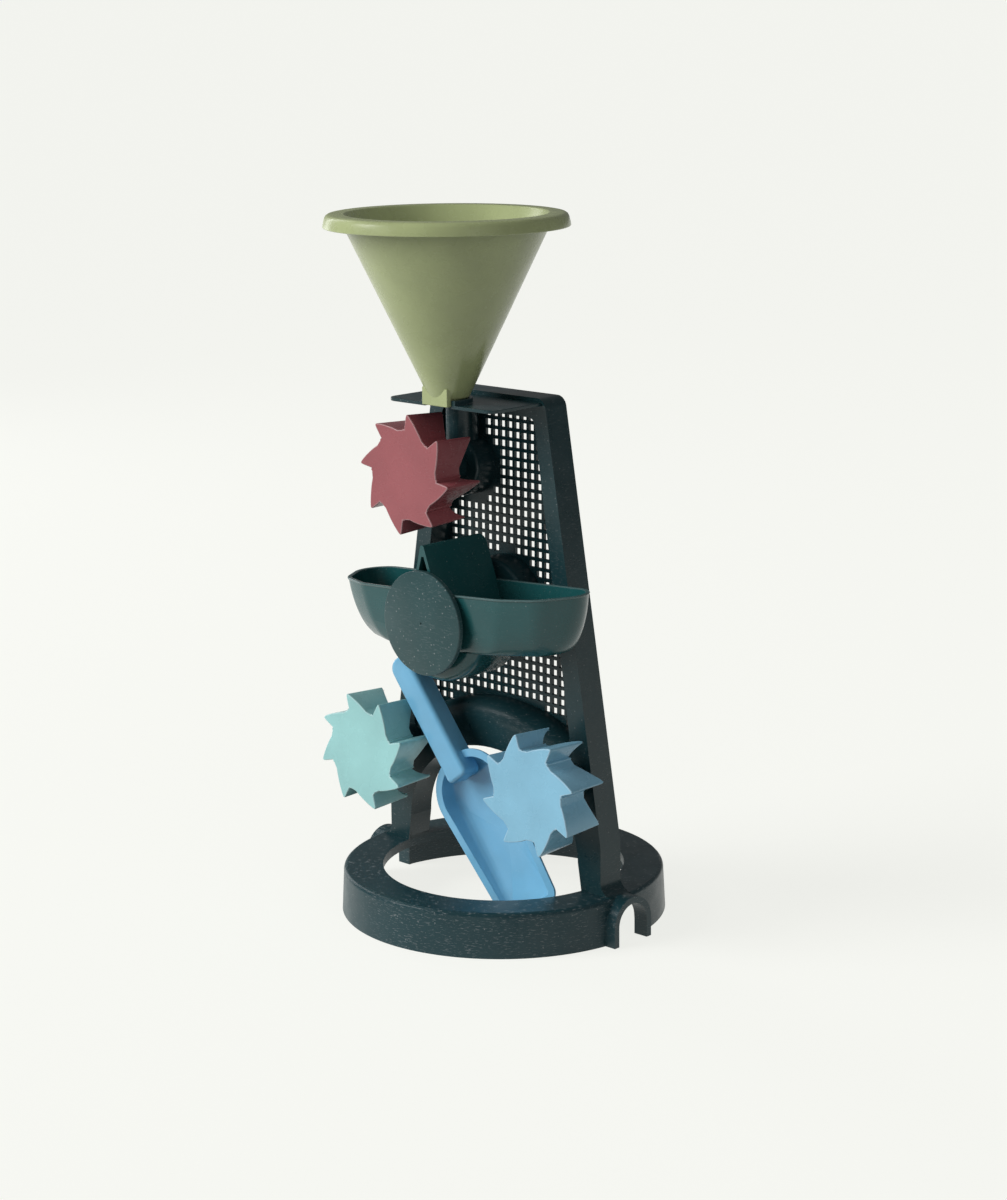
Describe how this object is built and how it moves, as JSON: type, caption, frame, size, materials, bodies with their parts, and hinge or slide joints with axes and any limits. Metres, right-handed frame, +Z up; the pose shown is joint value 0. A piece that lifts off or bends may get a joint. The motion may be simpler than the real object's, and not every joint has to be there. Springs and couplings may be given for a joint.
{
  "type": "sand wheel toy",
  "caption": "Sand and water toy: a lift-out funnel over a meshed tower with toothed wheels, a tipping bucket, a round base ring and a loose shovel.",
  "frame": {"origin": "floor level, centre of the toy's box in X and Y", "axes": "+X to the right as seen from the front, -Y to the front, +Z up"},
  "size_m": [0.212, 0.2136, 0.4285],
  "materials": {
    "petrol_plastic": "satin moulded plastic with fine specks",
    "teal_plastic": "satin moulded plastic",
    "grey_teal_plastic": "satin moulded plastic with fine specks",
    "sage_plastic": "satin moulded plastic",
    "burgundy_plastic": "satin moulded plastic",
    "mint_plastic": "satin moulded plastic",
    "blue_plastic": "satin moulded plastic"
  },
  "bodies": {
    "stand": {"base_ring": "petrol_plastic", "tower_frame": "petrol_plastic", "mesh_screen": "petrol_plastic", "bucket_boss": "petrol_plastic", "shelf": "petrol_plastic", "top_axle": "petrol_plastic", "left_axle": "petrol_plastic", "right_axle": "petrol_plastic", "bucket_axle": "petrol_plastic"},
    "funnel": {"funnel": "sage_plastic"},
    "top_wheel": {"top_wheel": "burgundy_plastic"},
    "left_wheel": {"left_wheel": "mint_plastic"},
    "right_wheel": {"right_wheel": "blue_plastic"},
    "bucket": {"tipping_bucket": "teal_plastic", "bucket_disc": "grey_teal_plastic"},
    "shovel": {"shovel": "blue_plastic"}
  },
  "joints": [
    {"name": "top_wheel_spin", "type": "hinge", "parent": "stand", "child": "top_wheel", "pos_m": [-0.028, -0.0282, 0.2734], "axis": [0, 1, 0], "continuous": true},
    {"name": "left_wheel_spin", "type": "hinge", "parent": "stand", "child": "left_wheel", "pos_m": [-0.07, -0.0282, 0.0953], "axis": [0, 1, 0], "continuous": true},
    {"name": "right_wheel_spin", "type": "hinge", "parent": "stand", "child": "right_wheel", "pos_m": [0.07, -0.0282, 0.0953], "axis": [0, 1, 0], "continuous": true},
    {"name": "bucket_tip", "type": "hinge", "parent": "stand", "child": "bucket", "pos_m": [0, -0.0282, 0.1902], "axis": [0, 1, 0], "range_deg": [-9.5, 16]},
    {"name": "funnel_lift", "type": "slide", "parent": "stand", "child": "funnel", "axis": [0, 0, 1], "range_m": [0, 0.08]},
    {"name": "shovel_lift", "type": "slide", "parent": "stand", "child": "shovel", "axis": [-0.314, -0.848, 0.427], "range_m": [0, 0.012]}
  ]
}
